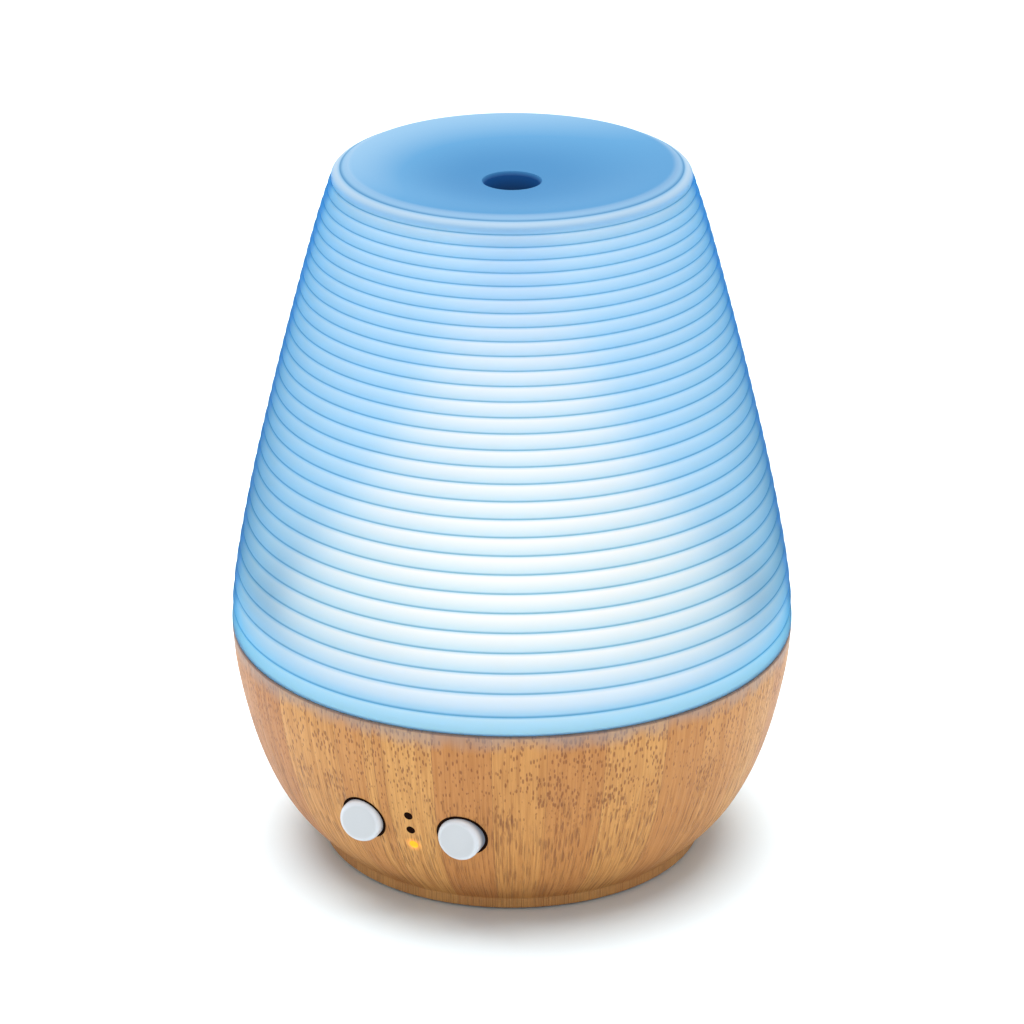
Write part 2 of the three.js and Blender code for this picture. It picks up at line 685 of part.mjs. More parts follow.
function controlPanel() {
  const group = new THREE.Group();
  group.add(piece('control_board', controlBoardGeometry(), 'circuit_board'));
  const sides = { left: -BUTTON.x, right: BUTTON.x };
  for (const [side, x] of Object.entries(sides)) {
    const place = [x, 0, BUTTON.z];
    group.add(piece(`${side}_button_cap`, buttonCapGeometry(), 'button_gloss', place));
    group.add(piece(`${side}_switch_plunger`, switchPlungerGeometry(), 'white_plastic', place));
    group.add(piece(`${side}_switch_body`, switchBodyGeometry(), 'dark_plastic', place));
  }
  for (const [level, z] of Object.entries(INDICATOR_HEIGHTS)) {
    group.add(piece(`light_pipe_${level}`, lightPipeGeometry(z), 'clear_plastic'));
    group.add(piece(`indicator_led_${level}`, indicatorChipGeometry(z), 'amber_led'));
  }
  return group;
}

// The control board's screws point backward, so each is turned from +Z to +Y.
function controlBoardScrews() {
  const group = new THREE.Group();
  controlBoardScrewPlaces().forEach(([x, z], i) => {
    const place = [x, CONTROL_BOARD.front - GAP, z];
    const screw = piece(`control_board_screw_${i + 1}`, screwGeometry(SMALL_SCREW), 'steel', place);
    screw.rotation.x = -Math.PI / 2;
    group.add(screw);
  });
  return group;
}

function lighting() {
  const group = new THREE.Group();
  group.add(piece('led_board', ledBoardGeometry(), 'circuit_board'));
  const seat = LED_BOARD.bottom - GAP;
  group.add(...repeated('led_board_screw', screwGeometry(SMALL_SCREW), 'steel', ledBoardScrewPlaces(), seat));
  const places = [];
  for (let i = 0; i < SHADE_LED.count; i += 1) {
    places.push(onCircle(SHADE_LED.circle, (i * 360) / SHADE_LED.count));
  }
  group.add(...repeated('shade_led', shadeLedGeometry(), 'led_chip', places, LED_BOARD.top + GAP));
  return group;
}

function wiring() {
  const group = new THREE.Group();
  for (const [name, lead] of Object.entries(LEADS)) {
    group.add(piece(name, leadGeometry(lead), 'wire_insulation'));
  }
  return group;
}

const diffuser = new THREE.Group();
diffuser.add(covers(), casing(), mistMaker(), fan(), powerBoard());
diffuser.add(controlPanel(), controlBoardScrews(), lighting(), wiring());

export default diffuser;
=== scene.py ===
"""The looks of the essential oil diffuser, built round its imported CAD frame.

A lit, frosted and ribbed shade stands on a turned bamboo bowl with two push buttons and three
indicator lights. Lengths are in millimetres and are multiplied by MM where a mesh is made.
"""

import json
import math

import bpy
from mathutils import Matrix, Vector


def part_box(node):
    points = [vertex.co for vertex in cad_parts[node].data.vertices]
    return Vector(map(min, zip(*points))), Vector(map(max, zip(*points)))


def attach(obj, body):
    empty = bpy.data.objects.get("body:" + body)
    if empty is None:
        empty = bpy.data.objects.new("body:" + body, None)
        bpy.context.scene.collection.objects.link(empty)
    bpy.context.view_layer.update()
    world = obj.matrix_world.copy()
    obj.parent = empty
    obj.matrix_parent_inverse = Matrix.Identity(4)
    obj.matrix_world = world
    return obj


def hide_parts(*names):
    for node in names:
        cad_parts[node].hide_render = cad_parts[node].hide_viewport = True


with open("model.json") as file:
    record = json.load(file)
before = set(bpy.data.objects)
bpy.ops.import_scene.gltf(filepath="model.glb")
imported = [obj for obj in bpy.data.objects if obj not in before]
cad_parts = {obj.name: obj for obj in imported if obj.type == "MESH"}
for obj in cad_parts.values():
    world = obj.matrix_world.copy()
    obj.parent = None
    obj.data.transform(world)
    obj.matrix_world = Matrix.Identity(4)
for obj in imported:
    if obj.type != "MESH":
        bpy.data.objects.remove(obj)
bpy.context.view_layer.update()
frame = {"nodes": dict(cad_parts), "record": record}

MM = 0.001

# ---------------------------------------------------------------------------
# Driving dimensions, in millimetres. Outlines are [radius, height] knots of smooth curves.
# ---------------------------------------------------------------------------

SEAM_Z = 56.0
SHADE_FOOT = 56.3
SHADE_SIDE = [
    (68.15, SHADE_FOOT), (67.5, 66), (65.66, 78), (62, 96),
    (57.24, 116), (52.11, 136), (46.61, 156), (43.1, 167),
]
SHADE_TOP = [(43.1, 167), (41.9, 170.1), (39.8, 171.5), (37, 172.1), (31, 171.5), (20, 169.4), (6.5, 167.4)]
SHADE_WALL = 2.2
MIST_HOLE_RADIUS = 6.5
COLLAR_WALL = 1.5
COLLAR_BOTTOM = 158.0

RIB_TOP = 171.15  # height of the highest groove
RIB_PITCH = 2.592  # distance to the next one down
RIB_GROWTH = 1.0226  # each rib is taller than the one above it by this factor
RIB_COUNT = 29
LAST_GROOVES = (66.6, 60.9)  # the two lowest ribs are taller still
RIB_DEPTH = 0.5
RIB_ROUNDNESS = 2.4
RIB_STEPS = 12
RIM_EDGE = 38.5  # the ribs end outside this radius, and the smooth dish begins

BOWL_SIDE = [
    (47.9, 4.4), (52.8, 9.5), (56.6, 14.6), (60.1, 21.3),
    (63, 29), (65.4, 38), (67.3, 48), (68, 55.6),
]
BOWL_WALL = 4.0
BOWL_RIM_RADIUS = 67.7
FOOT_RING = {"outer": 46.6, "inner": 43.5, "bottom": 0.5, "top": 3.0, "chamfer": 0.3}
REBATE_RADIUS = 66.2
REBATE_Z = 54.0

MIST_COVER_SIDE = [
    (57.5, SHADE_FOOT), (56.5, 61.5), (51.5, 68), (44.5, 76), (37.5, 86), (30.5, 98),
    (23.5, 111), (16.5, 125), (11.5, 138), (10.2, 148), (10.2, 163),
]
MIST_COVER_WALL = 1.8

BUTTON_X = 12.5
BUTTON_Z = 27.5
BUTTON_HOLE = 5.9
BUTTON_RADIUS = 5.25
BUTTON_EDGE = 1.2  # how far the cap's front edge is rounded
BUTTON_FLANGE = {"radius": 6.5, "front": 55.2}
INDICATOR_HOLE = 1.05
INDICATOR_Z = {"high": 31.5, "middle": 27.2, "low": 22.6}
JACK_Z = 17.0
JACK_HOLE = 4.3
FRONT_CUT = (-75, -50)  # from where to where along Y a front hole's cutter reaches
BACK_CUT = (45, 75)

STAVES = 30
GRAIN_RADIUS = 65.0  # the bowl's mean radius, at which distances round it are measured

SEGMENTS = 192
FLOOR_HALF = 4000.0
CAMERA_DISTANCE = 1.0  # metres
CAMERA_AIM_Z = 83.5


# ---------------------------------------------------------------------------
# Curves and meshes
# ---------------------------------------------------------------------------


def curve_points(knots, steps):
    """Points of a smooth curve through the knots, steps of them to each stretch, and the last knot."""
    points = []
    last = len(knots) - 1
    for i in range(last):
        before, start, end, after = (knots[max(0, min(last, i + k))] for k in (-1, 0, 1, 2))
        for step in range(steps):
            t = step / steps
            point = []
            for a, b, c, d in zip(before, start, end, after):
                v0, v1 = (c - a) / 2, (d - b) / 2
                point.append(
                    (2 * b - 2 * c + v0 + v1) * t**3
                    + (-3 * b + 3 * c - 2 * v0 - v1) * t**2
                    + v0 * t
                    + b
                )
            points.append(tuple(point))
    points.append(tuple(knots[-1]))
    return points


def offset_points(points, distance):
    """The same line moved to its left, seen along it."""
    moved = []
    for i, (r, z) in enumerate(points):
        before, after = points[max(i - 1, 0)], points[min(i + 1, len(points) - 1)]
        dr, dz = after[0] - before[0], after[1] - before[1]
        length = math.hypot(dr, dz)
        moved.append((r - dz / length * distance, z + dr / length * distance))
    return moved


def radius_at(points, z):
    """Radius of an outline at a height, where the outline rises or falls all the way."""
    for (r0, z0), (r1, z1) in zip(points, points[1:]):
        if min(z0, z1) <= z <= max(z0, z1) and z0 != z1:
            return r0 + (r1 - r0) * (z - z0) / (z1 - z0)
    raise ValueError(f"height {z} is outside the outline")


def smooth(mesh, sharp_degrees):
    mesh.polygons.foreach_set("use_smooth", [True] * len(mesh.polygons))
    mesh.set_sharp_from_angle(angle=math.radians(sharp_degrees))


def new_object(name, vertices, faces, sharp_degrees=30):
    mesh = bpy.data.meshes.new(name)
    mesh.from_pydata([Vector(v) * MM for v in vertices], [], faces)
    mesh.validate()
    smooth(mesh, sharp_degrees)
    made = bpy.data.objects.new(name, mesh)
    bpy.context.scene.collection.objects.link(made)
    return made


def turned(name, outline, segments=SEGMENTS, values=None, sharp_degrees=30):
    """A body of revolution about Z from a closed outline, counter-clockwise in (radius, height).
    values holds named numbers, one for each outline point, which the material can read."""
    count = len(outline)
    vertices = []
    for turn in range(segments):
        angle = 2 * math.pi * turn / segments
        cos, sin = math.cos(angle), math.sin(angle)
        vertices += [(r * cos, r * sin, z) for r, z in outline]
    faces = []
    for turn in range(segments):
        here, there = turn * count, (turn + 1) % segments * count
        for i in range(count):
            j = (i + 1) % count
            faces.append((here + i, there + i, there + j, here + j))
    made = new_object(name, vertices, faces, sharp_degrees)
    for key, row in (values or {}).items():
        attribute = made.data.attributes.new(key, "FLOAT", "POINT")
        attribute.data.foreach_set("value", list(row) * segments)
    return made


def capped_turned(name, outline, axis_point, segments=48, sharp_degrees=40):
    """A body of revolution whose outline starts and ends on its axis, turned to point along -Y."""
    inner = outline[1:-1]
    count = len(inner)
    vertices = []
    for turn in range(segments):
        angle = 2 * math.pi * turn / segments
        vertices += [(r * math.cos(angle), -h, r * math.sin(angle)) for r, h in inner]
    first, last = len(vertices), len(vertices) + 1
    vertices += [(0, -outline[0][1], 0), (0, -outline[-1][1], 0)]
    faces = []
    for turn in range(segments):
        here, there = turn * count, (turn + 1) % segments * count
        faces.append((first, here, there))
        faces.append((last, there + count - 1, here + count - 1))
        for i in range(count - 1):
            faces.append((here + i, here + i + 1, there + i + 1, there + i))
    x, y, z = axis_point
    placed = [(vx + x, vy + y, vz + z) for vx, vy, vz in vertices]
    return new_object(name, placed, faces, sharp_degrees)


def cutter(radius, ends, x, z, sides=48):
    """A rod along Y, from one end to the other, that cuts a round hole."""
    vertices = []
    for y in ends:
        for turn in range(sides):
            angle = 2 * math.pi * turn / sides
            vertices.append((x + radius * math.cos(angle), y, z + radius * math.sin(angle)))
    sides_faces = [(i, (i + 1) % sides, sides + (i + 1) % sides, sides + i) for i in range(sides)]
    caps = [tuple(reversed(range(sides))), tuple(range(sides, 2 * sides))]
    return new_object("cutter", vertices, sides_faces + caps)


def cut(target, tools, sharp_degrees=30):
    """Cuts the tools out of the target and leaves a plain mesh."""
    for tool in tools:
        modifier = target.modifiers.new("cut", "BOOLEAN")
        modifier.operation = "DIFFERENCE"
        modifier.solver = "EXACT"
        modifier.object = tool
    evaluated = target.evaluated_get(bpy.context.evaluated_depsgraph_get())
    mesh = bpy.data.meshes.new_from_object(evaluated)
    target.modifiers.clear()
    old, target.data = target.data, mesh
    bpy.data.meshes.remove(old)
    for tool in tools:
        bpy.data.meshes.remove(tool.data)
    smooth(mesh, sharp_degrees)


# ---------------------------------------------------------------------------
# Material building
# ---------------------------------------------------------------------------


def srgb(red, green, blue):
    """A colour of 0-255 screen values as the linear colour that Blender's sockets take."""
    def linear(c):
        c /= 255
        return c / 12.92 if c <= 0.04045 else ((c + 0.055) / 1.055) ** 2.4
    return (linear(red), linear(green), linear(blue), 1.0)


class Nodes:
    """A material's node tree, with short calls for the nodes that the materials below use."""

    def __init__(self, name):
        self.material = bpy.data.materials.new(name)
        self.material.use_nodes = True
        self.tree = self.material.node_tree
        self.tree.nodes.clear()

    def add(self, kind, values=None, **settings):
        node = self.tree.nodes.new(kind)
        for key, value in settings.items():
            setattr(node, key, value)
        for key, value in (values or {}).items():
            self.put(node.inputs[key], value)
        return node

    def put(self, socket, value):
        if isinstance(value, bpy.types.NodeSocket):
            self.tree.links.new(value, socket)
        elif isinstance(value, bpy.types.Node):
            self.tree.links.new(value.outputs[0], socket)
        else:
            socket.default_value = value

    def math(self, operation, a, b=0.0):
        return self.add("ShaderNodeMath", {0: a, 1: b}, operation=operation).outputs[0]

    def plus(self, a, b):
        return self.math("ADD", a, b)

    def minus(self, a, b):
        return self.math("SUBTRACT", a, b)

    def times(self, a, b):
        return self.math("MULTIPLY", a, b)

    def larger(self, a, b):
        return self.math("MAXIMUM", a, b)

    def below(self, a, limit):
        """1 where a is under the limit, else 0."""
        return self.math("LESS_THAN", a, limit)

    def between(self, value, low, high, start=0.0, end=1.0):
        """value mapped smoothly from low..high to start..end, and held past both."""
        node = self.add("ShaderNodeMapRange", {
            "Value": value, "From Min": low, "From Max": high, "To Min": start, "To Max": end,
        }, interpolation_type="SMOOTHSTEP")
        return node.outputs[0]

    def ramp(self, value, stops):
        """value as a colour between stops, each a place from 0 to 1 and a colour."""
        node = self.add("ShaderNodeValToRGB", {0: value})
        elements = node.color_ramp.elements
        while len(elements) < len(stops):
            elements.new(0.5)
        for element, (place, colour) in zip(elements, stops):
            element.position = place
            element.color = colour
        return node.outputs[0]

    def mix(self, factor, a, b, blend="MIX"):
        """The colour a where factor is 0 and b where it is 1."""
        node = self.add("ShaderNodeMix", data_type="RGBA", blend_type=blend)
        self.put(node.inputs[0], factor)
        self.put(node.inputs[6], a)
        self.put(node.inputs[7], b)
        return node.outputs[2]

    def noise(self, vector, scale, detail=2.0, roughness=0.5):
        values = {"Vector": vector, "Scale": scale, "Detail": detail, "Roughness": roughness}
        return self.add("ShaderNodeTexNoise", values).outputs[0]

    def object_point(self):
        """The point in the piece's own coordinates, which are those of the part at rest, in millimetres."""
        place = self.add("ShaderNodeTexCoord").outputs["Object"]
        scale = (1 / MM,) * 3
        return self.add("ShaderNodeVectorMath", {0: place, 1: scale}, operation="MULTIPLY").outputs[0]

    def split(self, vector):
        return self.add("ShaderNodeSeparateXYZ", {0: vector}).outputs

    def join(self, x, y, z):
        return self.add("ShaderNodeCombineXYZ", {0: x, 1: y, 2: z}).outputs[0]

    def radius(self, x, y):
        return self.math("SQRT", self.plus(self.times(x, x), self.times(y, y)))

    def bump(self, height, distance_mm):
        return self.add("ShaderNodeBump", {"Height": height, "Distance": distance_mm * MM}).outputs[0]

    def attribute(self, name):
        return self.add("ShaderNodeAttribute", attribute_name=name).outputs["Fac"]

    def mix_shader(self, factor, a, b):
        return self.add("ShaderNodeMixShader", {0: factor, 1: a, 2: b}).outputs[0]

    def finish(self, surface, volume=None):
        values = {"Surface": surface}
        if volume is not None:
            values["Volume"] = volume
        self.add("ShaderNodeOutputMaterial", values)
        return self.material


def principled(nodes, **values):
    named = {key.replace("_", " "): value for key, value in values.items()}
    return nodes.add("ShaderNodeBsdfPrincipled", named).outputs[0]


def paint(piece, material):
    piece.data.materials.clear()
    piece.data.materials.append(material)


# ---------------------------------------------------------------------------
# Materials
# ---------------------------------------------------------------------------


def shade_skin(n, rib_shaded_tint, light_side, reach, z):
    """The outside of the shade: clear enough for the core to show, but opaque on the rim and the dish. The
    dish is painted with light and shade, darkest round the hole and lighter towards the back and left, and
    the rim glows brighter as a painted highlight on its lip."""
    dish = n.between(reach, 40.2, 37.2)
    # Painted shade and light on the dish: darkest round the hole, lighter towards the back and left.
    light = n.times(n.between(reach, 9, 38), n.between(light_side, -30, 36, 0.3, 1.0))
    dish_glow = n.ramp(light, [
        (0.0, (0.0, 0.03, 0.13, 1)), (0.5, (0.05, 0.13, 0.25, 1)), (1.0, (0.25, 0.32, 0.38, 1)),
    ])
    dish_base = n.mix(dish, (0.12, 0.18, 0.25, 1), (0.036, 0.14, 0.25, 1))
    # The rim round the dish glows brighter: a painted highlight along its lip.
    dish_glow = n.mix(dish, (0.28, 0.35, 0.40, 1), dish_glow)
    on_top = n.larger(n.between(z, 168.6, 170.6), n.times(dish, n.between(z, 160, 166)))
    skin = principled(
        n, Roughness=0.42, Specular_IOR_Level=0.12,
        Base_Color=n.mix(1.0, rib_shaded_tint, n.mix(on_top, srgb(40, 150, 215), dish_base), "MULTIPLY"),
        Emission_Color=n.mix(1.0, rib_shaded_tint, n.mix(on_top, (0.01, 0.05, 0.075, 1), dish_glow), "MULTIPLY"),
        Emission_Strength=1.0,
    )
    through = n.add("ShaderNodeBsdfRefraction", {"Color": rib_shaded_tint, "Roughness": 0.5, "IOR": 1.04})
    return n.mix_shader(n.times(n.minus(1.0, on_top), 0.82), skin, through)


def shade_lining(n, z):
    """The inside of the shade: it glows, most of all near the lamps at its foot, and blurs what is
    seen through it."""
    glow = n.ramp(n.between(z, 60, 168), [
        (0.0, (1.30, 0.86, 0.50, 1)), (0.25, (1.10, 0.74, 0.46, 1)), (1.0, (0.90, 0.66, 0.46, 1)),
    ])
    glow = n.mix(n.between(z, 63, 58, 0.0, 0.8), glow, (0.80, 0.76, 0.50, 1))
    lit = principled(
        n, Base_Color=(0.19, 0.44, 0.60, 1), Roughness=0.6, Emission_Color=glow, Emission_Strength=0.9,
    )
    clear = n.add("ShaderNodeBsdfRefraction", {"Color": (1, 1, 1, 1), "Roughness": 0.9, "IOR": 1.18})
    see = n.times(n.between(z, 60, 165, 0.55, 0.25), n.between(z, 57, 76, 0.15, 1.0))
    return n.mix_shader(see, lit, clear)


def mist_hole_wall(n, z):
    """The wall of the mist hole, painted near black with a dim deep blue glow that darkens downwards:
    painted shade inside the hole.
    """
    glow = n.ramp(n.between(z, 162, 167.4), [
        (0.0, (0.001, 0.016, 0.06, 1)), (1.0, (0.004, 0.05, 0.19, 1)),
    ])
    return principled(
        n, Base_Color=(0.002, 0.012, 0.03, 1), Roughness=0.6, Specular_IOR_Level=0.2,
        Emission_Color=glow, Emission_Strength=1.0,
    )


def frosted_shade():
    """Milky blue plastic, lit from inside. The wall takes red light out of whatever passes through
    it, so it is deepest where it is seen edge on."""
    n = Nodes("frosted_shade")
    x, y, z = n.split(n.object_point())
    # Painted light and shade on the ribs: each rib is lightest under its upper groove and darkens down to a
    # dark painted line in the lower groove.
    rib_shaded_tint = n.ramp(n.attribute("rib_light_and_shade"), [
        (0.0, (0.12, 0.40, 0.64, 1)), (0.3, (0.58, 0.81, 0.94, 1)),
        (0.65, (0.82, 0.92, 0.98, 1)), (1.0, (1, 1, 1, 1)),
    ])
    # The direction that the dish's painted light comes from: the back and left.
    light_side = n.minus(n.times(y, 0.52), n.times(x, 0.86))
    outer = shade_skin(n, rib_shaded_tint, light_side, n.radius(x, y), z)
    walls = n.mix_shader(n.attribute("inside"), outer, shade_lining(n, z))
    surface = n.mix_shader(n.attribute("bore"), walls, mist_hole_wall(n, z))
    volume = n.add("ShaderNodeVolumeAbsorption", {"Color": (0.0, 0.60, 0.84, 1), "Density": 150.0})
    return n.finish(surface, volume.outputs[0])


def lit_cover():
    """The mist cover inside the shade, bright where the lamps below reach it. Looked at directly,
    with the shade off, it is dimmer, or it would burn out to plain white."""
    n = Nodes("lit_cover")
    x, y, z = n.split(n.object_point())
    strength = n.times(n.between(z, 120, 152, 1.0, 0.0), n.between(z, 57, 84, 0.6, 1.0))
    cloud = n.noise(n.join(x, y, z), 0.05, 3)
    colour = n.ramp(cloud, [(0.3, (1.27, 0.74, 0.39, 1)), (0.7, (1.27, 0.77, 0.41, 1))])
    through_shade = n.mix(strength, (0.12, 0.20, 0.30, 1), colour)
    uncovered = n.mix(strength, (0.01, 0.02, 0.04, 1), (0.05, 0.09, 0.14, 1))
    direct = n.add("ShaderNodeLightPath").outputs["Is Camera Ray"]
    return n.finish(principled(
        n, Base_Color=n.mix(cloud, (0.28, 0.34, 0.40, 1), (0.32, 0.38, 0.44, 1)), Roughness=0.5,
        Emission_Color=n.mix(direct, through_shade, uncovered), Emission_Strength=1.85,
    ))


def staves(n, angle):
    """The number of the stave at an angle round the bowl, and the place across it from 0 to 1.
    The staves differ in width."""
    flat = n.join(n.math("COSINE", angle), n.math("SINE", angle), 0.0)
    shift = n.times(n.minus(n.noise(flat, 9.0, 1), 0.5), 1.5)
    warped = n.plus(n.times(angle, STAVES / (2 * math.pi)), shift)
    return n.math("FLOOR", warped), n.math("FRACT", warped)


def fibre_marks(n, arc, z, number, crowd):
    """Cut fibre ends: round dots near the rim, and slivers under them."""

    def cells(across, along):
        """Distance from the middle of the nearest of many scattered cells."""
        vector = n.join(n.times(arc, across), n.times(z, along), n.times(number, 3.7))
        values = {"Vector": vector, "Scale": 1.0, "Randomness": 0.85}
        return n.add("ShaderNodeTexVoronoi", values).outputs["Distance"]

    size = n.plus(0.20, n.times(crowd, 0.28))
    core = n.times(size, 0.5)
    large = n.between(cells(1.45, 0.50), size, core)
    small = n.between(cells(1.0, 0.34), core, n.times(core, 0.5))
    dots = n.times(n.larger(large, small), n.between(z, 24, 38, 0.1, 1.0))
    slivers = n.between(cells(1.25, 0.17), size, core)
    low_down = n.times(n.between(z, 44, 32), n.between(z, 10, 22, 0.35, 1.0))
    return dots, n.times(slivers, low_down)


def bored_wood(n, x, y, z):
    """1 in the holes of the buttons and the indicators, else 0: where the holes' walls get painted shade.
    """
    holes = [(side * BUTTON_X, BUTTON_Z, BUTTON_HOLE) for side in (-1, 1)]
    holes += [(0.0, level, INDICATOR_HOLE) for level in INDICATOR_Z.values()]
    bored = 0.0
    for middle, level, radius in holes:
        distance = n.radius(n.minus(x, middle), n.minus(z, level))
        bored = n.larger(bored, n.below(distance, radius + 0.04))
    return n.times(bored, n.below(y, 0.0))


def lamp_halo(n, x, y, z):
    """How strongly the lowest indicator lights the wood round it, 0 to 1."""
    near = n.radius(x, n.minus(z, INDICATOR_Z["low"]))
    halo = n.times(n.between(near, 3.0, 0.8), n.below(y, 0.0))
    return n.times(halo, halo)


def bamboo():
    """Upright bamboo staves, turned to a bowl and lacquered: fibre ends show as short dark marks
    near the rim, and as long streaks where the side turns under."""
    n = Nodes("bamboo")
    x, y, z = n.split(n.object_point())
    angle = n.math("ARCTAN2", y, x)
    arc = n.times(angle, GRAIN_RADIUS)
    number, place = staves(n, angle)

    def dice(offset):
        """A number from 0 to 1 that is the same all over one stave."""
        seed = n.join(number, offset, 0.0)
        return n.add("ShaderNodeTexWhiteNoise", {"Vector": seed}, noise_dimensions="3D").outputs[0]

    def grain(across, along, offset, detail, roughness=0.5):
        """Noise drawn out along the stave."""
        vector = n.join(n.times(arc, across), n.times(z, along), dice(offset))
        return n.noise(vector, 1.0, detail, roughness)

    long_grain = grain(1.6, 0.05, 5.0, 4, 0.6)
    streaks = grain(3.2, 0.10, 9.0, 2, 0.6)
    patch = grain(0.16, 0.10, 13.0, 2)
    crowd = n.times(n.between(patch, 0.34, 0.6), n.between(dice(7.0), 0.1, 0.6, 0.6, 1.0))
    crowd = n.larger(crowd, n.between(z, 36, 52, 0.0, 0.75))
    dots, slivers = fibre_marks(n, arc, z, number, crowd)
    dashes = n.times(n.between(streaks, 0.54, 0.66), n.between(z, 46, 20, 0.25, 0.9))
    edge = n.math("MINIMUM", place, n.minus(1.0, place))
    joint = n.times(n.below(edge, 0.012), dice(3.0))

    wood = n.ramp(dice(1.0), [
        (0.0, srgb(178, 112, 56)), (0.3, srgb(190, 126, 65)),
        (0.65, srgb(200, 138, 72)), (1.0, srgb(212, 154, 84)),
    ])
    wood = n.mix(n.between(long_grain, 0.35, 0.68, 0.0, 0.6), wood, srgb(166, 102, 48))
    wood = n.mix(n.times(dots, 0.72), wood, srgb(124, 66, 28))
    wood = n.mix(n.times(slivers, 0.6), wood, srgb(122, 70, 34))
    wood = n.mix(n.times(dashes, 0.5), wood, srgb(126, 76, 38))
    wood = n.mix(n.times(joint, 0.75), wood, srgb(112, 68, 38))
    # Painted shade: the wood is darker towards the foot, where the bowl turns under.
    wood = n.mix(n.between(z, 16, 3.5, 0.0, 0.1), wood, srgb(138, 84, 44))
    # The foot ring shows pale lines of end grain.
    lines = n.noise(n.join(n.times(arc, 4.0), 0.0, 0.0), 1.0, 2, 0.7)
    on_ring = n.times(n.between(z, 3.6, 3.2), n.between(lines, 0.42, 0.6, 0.0, 0.8))
    wood = n.mix(on_ring, wood, srgb(214, 164, 106))
    # Painted light: the cool grey glow that the lit shade throws on the rim, which ends in a seam darkened
    # with painted shade.
    painted_glow_height = n.plus(z, n.times(n.minus(patch, 0.5), 6.0))
    wood = n.mix(n.between(painted_glow_height, 51.0, 56.0, 0.0, 0.55), wood, srgb(146, 134, 130))
    wood = n.mix(n.between(z, 55.6, 55.85, 0.0, 0.45), wood, srgb(58, 60, 74))

    height = n.minus(n.times(long_grain, 0.3), n.plus(dots, n.plus(slivers, dashes)))
    halo = lamp_halo(n, x, y, z)
    skin = principled(
        n, Base_Color=wood, Roughness=n.between(long_grain, 0.3, 0.7, 0.46, 0.58),
        Specular_IOR_Level=0.32, Normal=n.bump(height, 0.08),
        Emission_Color=n.mix(halo, (0, 0, 0, 1), (1.0, 0.36, 0.03, 1)), Emission_Strength=0.55,
    )
    # The walls of the holes are painted near black as painted shade; round the lowest indicator they glow
    # with its painted light.
    lamp_light = n.mix(n.between(y, -60.5, -59.7), (1.1, 0.62, 0.04, 1), (1.8, 1.3, 0.14, 1))
    hole_painted_shade = principled(
        n, Base_Color=n.mix(streaks, srgb(20, 10, 6), srgb(34, 18, 12)), Roughness=1.0,
        Specular_IOR_Level=0.0, Emission_Color=n.mix(halo, (0, 0, 0, 1), lamp_light), Emission_Strength=1.0,
    )
    return n.finish(n.mix_shader(bored_wood(n, x, y, z), skin, hole_painted_shade))


def moulded(name, colour, roughness=0.45, grain=0.35, depth=0.012, coat=0.0, specular=0.5, shading=None):
    """Moulded plastic or rubber: a fine skin texture and slight unevenness in colour and gloss.
    shading, where given, is a function that paints light and shade into the colour by place."""
    n = Nodes(name)
    point = n.object_point()
    cloud = n.noise(point, 0.08, 3)
    skin = n.noise(point, grain * 10, 2)
    dark = tuple(c * 0.95 for c in colour[:3]) + (1.0,)
    shown = n.mix(cloud, dark, colour)
    if shading:
        shown = shading(n, shown)
    return n.finish(principled(
        n, Base_Color=shown, Coat_Weight=coat, Specular_IOR_Level=specular,
        Roughness=n.between(cloud, 0.3, 0.7, roughness - 0.03, roughness + 0.04),
        Normal=n.bump(skin, depth),
    ))


def shade_of_hole(n, colour):
    """Painted highlight on a button cap's rounded edge, and painted shade on its side, dusky where it sinks
    into its hole.
    """
    x, y, z = n.split(n.object_point())
    centre = n.minus(n.math("ABSOLUTE", x), BUTTON_X)
    out = n.radius(centre, n.minus(z, BUTTON_Z))
    depth = n.plus(y, n.times(n.minus(z, BUTTON_Z), 0.1))
    # Painted highlight on the rounded edge, then painted shade where the side sinks into the hole.
    rounded = n.mix(n.between(out, 3.9, 4.7), colour, srgb(208, 208, 211))
    shade = n.times(n.between(depth, -63.0, -61.0), n.between(out, 4.8, 5.2))
    return n.mix(n.times(shade, 0.85), rounded, srgb(84, 98, 116))


def metal(name, colour, roughness=0.35):
    """Plated or drawn metal with fine scratches."""
    n = Nodes(name)
    point = n.object_point()
    scratches = n.noise(n.add("ShaderNodeMapping", {"Vector": point, "Scale": (1, 1, 12)}), 1.5, 4, 0.7)
    dark = tuple(c * 0.75 for c in colour[:3]) + (1.0,)
    return n.finish(principled(
        n, Base_Color=n.mix(scratches, dark, colour), Metallic=1.0,
        Roughness=n.between(scratches, 0.3, 0.7, roughness - 0.08, roughness + 0.12),
        Normal=n.bump(scratches, 0.01),
    ))


def glowing(name, colour, light, strength):
    """A lit lens, slightly uneven."""
    n = Nodes(name)
    cloud = n.noise(n.object_point(), 1.2, 2)
    shine = n.mix(n.between(cloud, 0.3, 0.7), light, (1.0, 0.78, 0.2, 1))
    return n.finish(principled(
        n, Base_Color=n.mix(cloud, colour, light), Roughness=0.25,
        Emission_Color=shine, Emission_Strength=strength,
    ))


def board():
    """Green solder mask with paler copper tracks under it."""
    n = Nodes("circuit_board")
    point = n.object_point()
    x, y, z = n.split(point)
    tracks = n.add("ShaderNodeTexBrick", {
        "Vector": n.join(x, n.plus(y, z), 0.0), "Scale": 0.28, "Mortar Size": 0.03,
        "Color1": (0.010, 0.10, 0.035, 1), "Color2": (0.014, 0.13, 0.045, 1),
        "Mortar": (0.03, 0.24, 0.09, 1),
    })
    return n.finish(principled(
        n, Base_Color=tracks.outputs["Color"], Roughness=0.35,
        Normal=n.bump(tracks.outputs["Fac"], 0.03),
    ))


